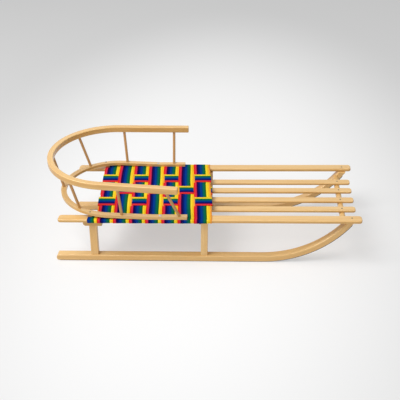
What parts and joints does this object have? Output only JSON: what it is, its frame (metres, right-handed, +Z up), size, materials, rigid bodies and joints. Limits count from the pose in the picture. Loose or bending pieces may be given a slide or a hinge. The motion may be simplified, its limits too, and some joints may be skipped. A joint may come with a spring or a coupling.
{
  "type": "wooden sled with backrest",
  "caption": "Child's wooden sled with bent runners, slatted front deck, woven webbing seat and a bent-wood backrest on round spindles.",
  "frame": {"origin": "middle of the sled's whole box, at the floor", "axes": "+X forwards towards the bent ends of the runners, +Y to the sled's left, +Z up"},
  "size_m": [0.9472, 0.4254, 0.3002],
  "materials": {
    "beech_lath": "clear satin varnish on straight-grained pale wood",
    "bent_wood": "clear satin varnish on steam-bent wood",
    "turned_wood": "clear satin varnish on turned sticks",
    "sole_steel": "dull flat steel strip",
    "striped_webbing": "woven polyester webbing with lengthwise colour stripes"
  },
  "bodies": {
    "root": {"backrest_bottom_bow": "bent_wood", "backrest_top_bow": "bent_wood", "cross_band_1": "striped_webbing", "cross_band_2": "striped_webbing", "cross_band_3": "striped_webbing", "cross_band_4": "striped_webbing", "cross_band_5": "striped_webbing", "cross_band_6": "striped_webbing", "cross_band_7": "striped_webbing", "deck_slat_1": "beech_lath", "deck_slat_2": "beech_lath", "deck_slat_3": "beech_lath", "deck_slat_4": "beech_lath", "end_block_left": "beech_lath", "end_block_right": "beech_lath", "front_crossbar": "turned_wood", "leg_middle_left": "beech_lath", "leg_middle_right": "beech_lath", "leg_rear_left": "beech_lath", "leg_rear_right": "beech_lath", "long_band_1": "striped_webbing", "long_band_2": "striped_webbing", "long_band_3": "striped_webbing", "middle_crossbar": "beech_lath", "packing_wedge_left": "beech_lath", "packing_wedge_right": "beech_lath", "rear_crossbar": "beech_lath", "ribbon_end_turn": "striped_webbing", "runner_left": "bent_wood", "runner_right": "bent_wood", "runner_sole_left": "sole_steel", "runner_sole_right": "sole_steel", "side_rail_left": "beech_lath", "side_rail_right": "beech_lath", "spindle_back": "turned_wood", "spindle_left_front": "turned_wood", "spindle_left_middle": "turned_wood", "spindle_left_rear": "turned_wood", "spindle_right_front": "turned_wood", "spindle_right_middle": "turned_wood", "spindle_right_rear": "turned_wood"}
  },
  "joints": []
}
